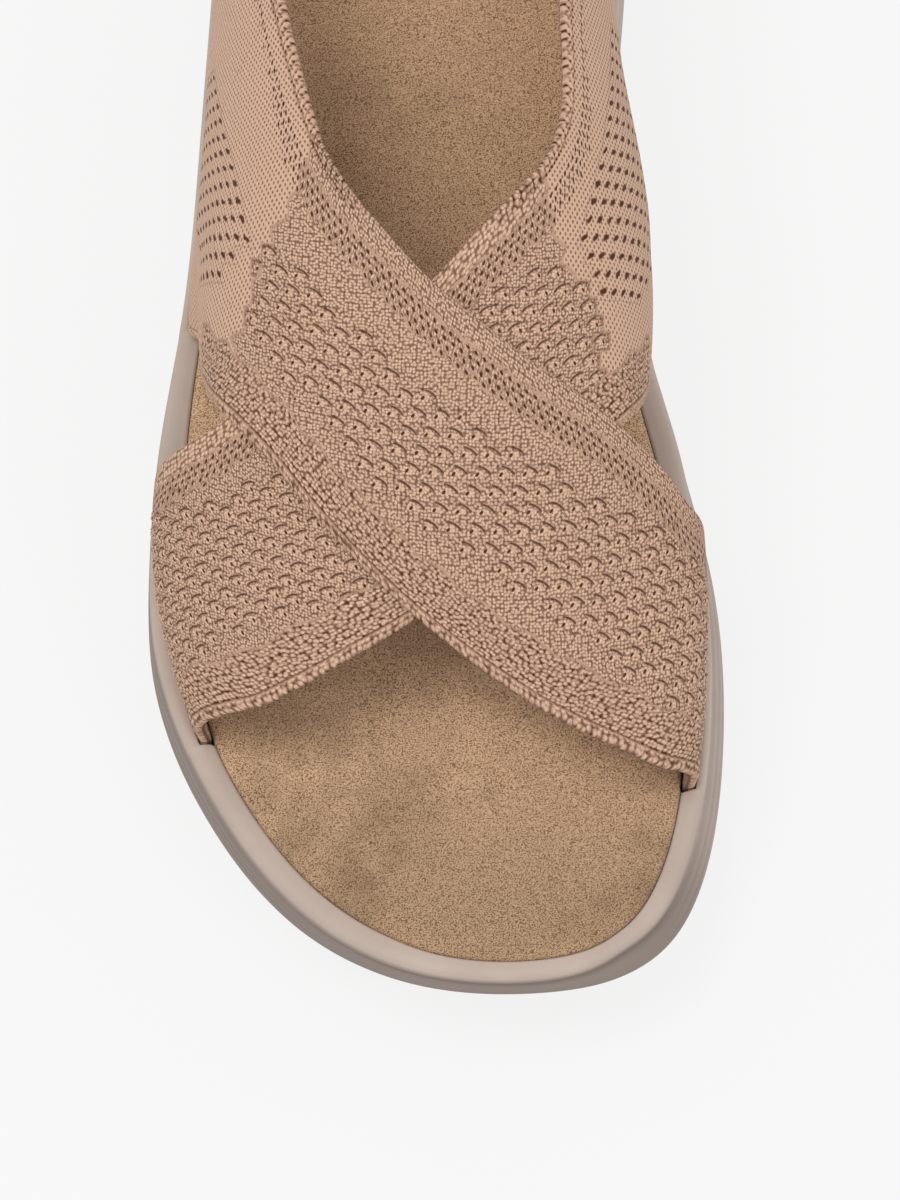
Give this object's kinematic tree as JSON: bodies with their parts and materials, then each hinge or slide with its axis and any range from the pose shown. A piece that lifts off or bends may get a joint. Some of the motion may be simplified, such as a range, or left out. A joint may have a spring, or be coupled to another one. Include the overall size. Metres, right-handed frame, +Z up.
{
  "type": "cross strap sandal",
  "caption": "Right cross strap sandal with a one-piece knitted upper, a heel strap, a suede-finish footbed and a thick foam sole with a rubber tread.",
  "frame": {"origin": "middle of the sandal's length and width, on the floor that it stands on", "axes": "+Z up, the toe points to -Y, the heel to +Y, the inner (medial) side of the foot to +X"},
  "size_m": [0.0981, 0.258, 0.0875],
  "materials": {
    "knit": "blush tan polyester knit, raised stitches, matt",
    "footbed": "tan suede-like microfibre, short nap, matt",
    "foam": "moulded foam, fine pebble, satin matt",
    "tread": "moulded rubber, matt"
  },
  "bodies": {
    "root": {"upper": "knit", "insole": "footbed", "midsole": "foam", "outsole": "tread"}
  },
  "joints": []
}
